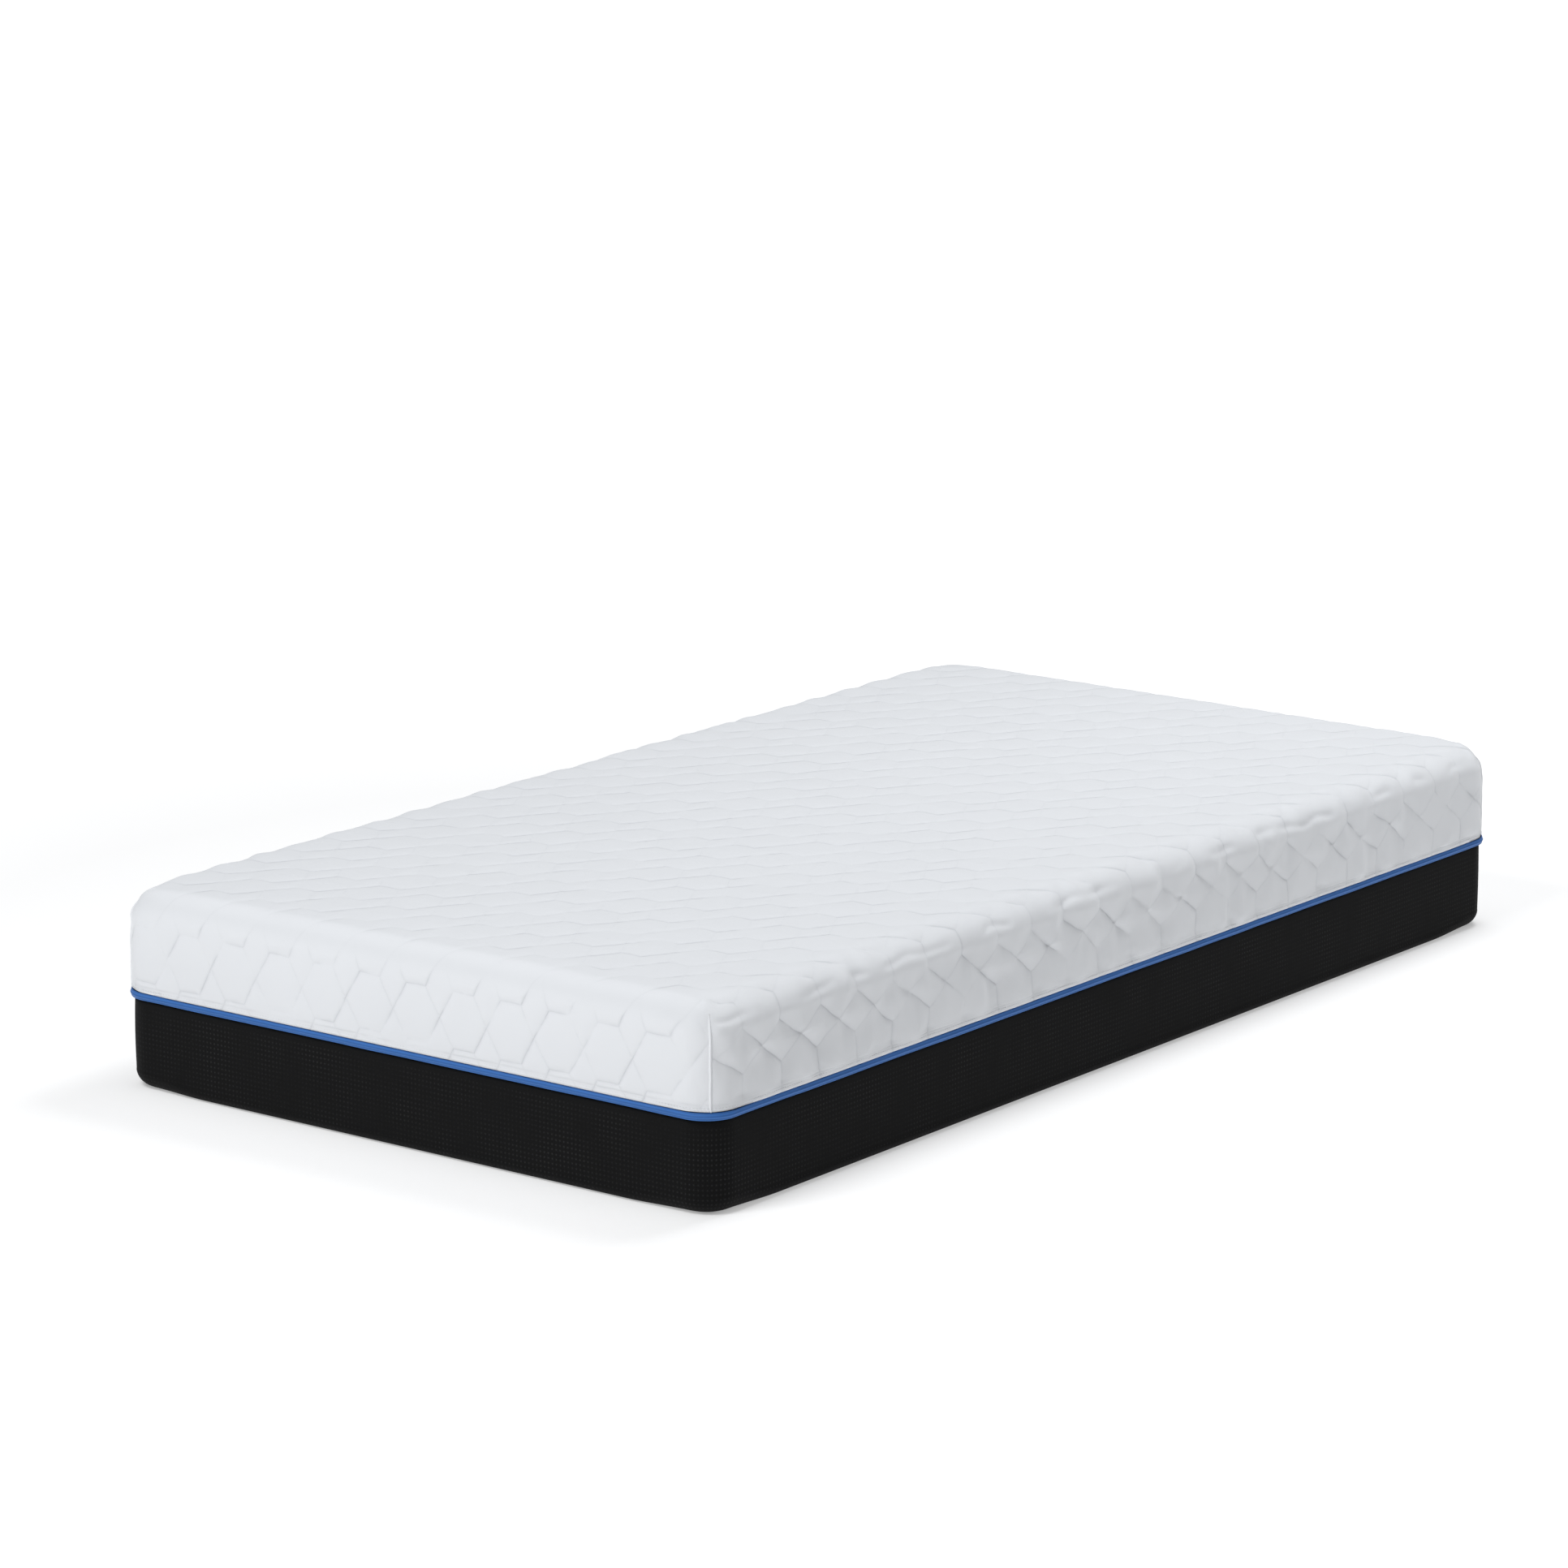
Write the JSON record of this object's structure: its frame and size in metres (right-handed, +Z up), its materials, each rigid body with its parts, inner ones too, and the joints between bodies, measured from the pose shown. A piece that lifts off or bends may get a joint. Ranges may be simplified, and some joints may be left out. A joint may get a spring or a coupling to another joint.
{
  "type": "memory foam mattress",
  "caption": "Foam mattress in a two-part zipped cover: white quilted top with rounded edges, blue piping, black side border and non-slip underside.",
  "frame": {"origin": "middle of the footprint, on the underside that rests on the bed base or floor", "axes": "+X across the bed, +Y along the bed towards the head end (the zip's end), +Z up"},
  "size_m": [1, 1.85, 0.27],
  "materials": {
    "base_foam": "open-cell support foam, pale grey",
    "transition_foam": "open-cell transition foam, pale blue",
    "memory_foam": "slow-recovery memory foam, off-white",
    "sock_knit": "fine white tubular knit",
    "sock_thread": "overlocked thread",
    "white_quilt": "quilted white knit, soft sheen",
    "quilt_fibre": "loose polyester wadding",
    "backing_cloth": "non-woven backing",
    "white_seam": "turned seam in the white knit",
    "blue_piping": "ribbed blue tape",
    "filler_cord": "soft filler cord",
    "black_border": "black square-grid knit",
    "black_seam": "black flat seam",
    "grip_cloth": "dark non-slip cloth with raised dots",
    "binding_tape": "woven binding tape",
    "zip_tape": "black woven zip tape",
    "zip_coil": "black nylon coil",
    "zip_metal": "black enamelled zinc",
    "garage_cloth": "folded black cloth",
    "label_cloth": "blank white woven label"
  },
  "bodies": {
    "mattress_base": {"support_foam_base": "base_foam", "transition_foam_layer": "transition_foam", "memory_foam_layer": "memory_foam", "fire_sock": "sock_knit", "fire_sock_closing_seam": "sock_thread", "border_panel": "black_border", "border_join_seam": "black_seam", "bottom_panel": "grip_cloth", "bottom_seam_binding": "binding_tape", "zip_tape_lower": "zip_tape", "zip_coil_lower": "zip_coil", "zip_stop_lower": "zip_metal"},
    "top_cover": {"cover_face_fabric": "white_quilt", "cover_quilt_fill": "quilt_fibre", "cover_backing": "backing_cloth", "corner_seam_foot_right": "white_seam", "corner_seam_head_right": "white_seam", "corner_seam_head_left": "white_seam", "corner_seam_foot_left": "white_seam", "piping_fabric": "blue_piping", "piping_filler_cord": "filler_cord", "zip_tape_upper": "zip_tape", "zip_coil_upper": "zip_coil", "zip_stop_upper": "zip_metal", "zip_garage": "garage_cloth"},
    "zip_slider": {"zip_slider_body": "zip_metal"},
    "zip_pull": {"zip_pull_tab": "zip_metal"},
    "label": {"law_label": "label_cloth"}
  },
  "joints": [
    {"name": "top_cover_lift", "type": "slide", "parent": "mattress_base", "child": "top_cover", "axis": [0, 0, 1], "range_m": [0, 0.25]},
    {"name": "zip_slider_travel", "type": "slide", "parent": "mattress_base", "child": "zip_slider", "axis": [1, 0, 0], "range_m": [0, 0.8]},
    {"name": "zip_pull_swing", "type": "hinge", "parent": "zip_slider", "child": "zip_pull", "pos_m": [-0.4, 0.9182, 0.113], "axis": [0, 0, 1], "range_deg": [0, 150]},
    {"name": "label_flap", "type": "hinge", "parent": "mattress_base", "child": "label", "pos_m": [0.28, 0.921, 0.1], "axis": [1, 0, 0], "range_deg": [0, 150]}
  ]
}
